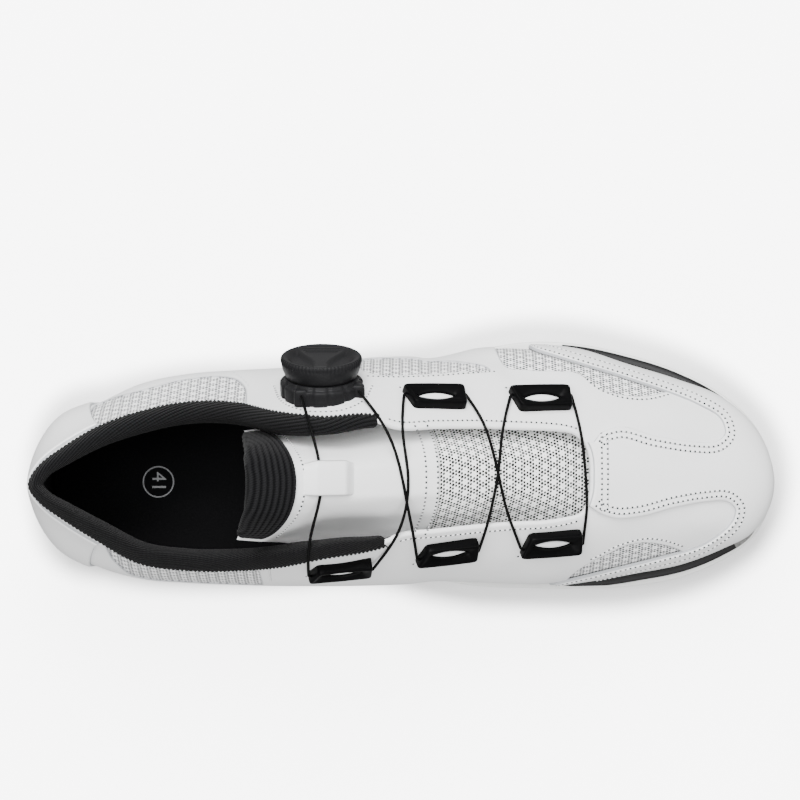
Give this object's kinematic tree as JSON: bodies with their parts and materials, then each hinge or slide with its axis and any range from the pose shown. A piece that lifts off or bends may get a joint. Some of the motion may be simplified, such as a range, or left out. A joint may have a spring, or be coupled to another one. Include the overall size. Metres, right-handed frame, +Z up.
{
  "type": "road cycling shoe",
  "caption": "White left road cycling shoe with a stiff sole, rotary lace dial, moulded lace guides and thin black cord, standing empty.",
  "frame": {"origin": "on the floor, under the middle of the heel tread", "axes": "+X towards the toe, +Y towards the outer side of the foot, +Z up"},
  "size_m": [0.278, 0.0936, 0.1044],
  "materials": {
    "outsole": "moulded white nylon, satin",
    "heel_tread": "matt black rubber",
    "stripe_outer": "matt black rubber",
    "stripe_inner": "matt black rubber",
    "insole": "black woven top cloth on foam, grey size ring",
    "upper": "white synthetic leather with mesh fields, black knitted lining",
    "toe_cap": "white coated synthetic leather, soft gloss",
    "heel_counter": "white coated synthetic leather, soft gloss",
    "tongue": "white padded mesh, black ribbed top",
    "tongue_keeper": "white synthetic leather loop",
    "guide_outer_back": "black moulded nylon, satin",
    "guide_outer_front": "black moulded nylon, satin",
    "guide_inner_back": "black moulded nylon, satin",
    "guide_inner_middle": "black moulded nylon, satin",
    "guide_inner_front": "black moulded nylon, satin",
    "dial_base": "black moulded nylon, matt",
    "dial_knob": "black moulded nylon with a soft grip rim",
    "lace_1": "thin black coated cord",
    "lace_2": "thin black coated cord",
    "lace_3": "thin black coated cord",
    "lace_4": "thin black coated cord"
  },
  "bodies": {
    "root": {"outsole": "outsole", "heel_tread": "heel_tread", "stripe_outer": "stripe_outer", "stripe_inner": "stripe_inner", "insole": "insole", "upper": "upper", "toe_cap": "toe_cap", "heel_counter": "heel_counter", "tongue": "tongue", "tongue_keeper": "tongue_keeper", "guide_outer_back": "guide_outer_back", "guide_outer_front": "guide_outer_front", "guide_inner_back": "guide_inner_back", "guide_inner_middle": "guide_inner_middle", "guide_inner_front": "guide_inner_front", "dial_base": "dial_base", "dial_knob": "dial_knob", "lace_1": "lace_1", "lace_2": "lace_2", "lace_3": "lace_3", "lace_4": "lace_4"}
  },
  "joints": []
}
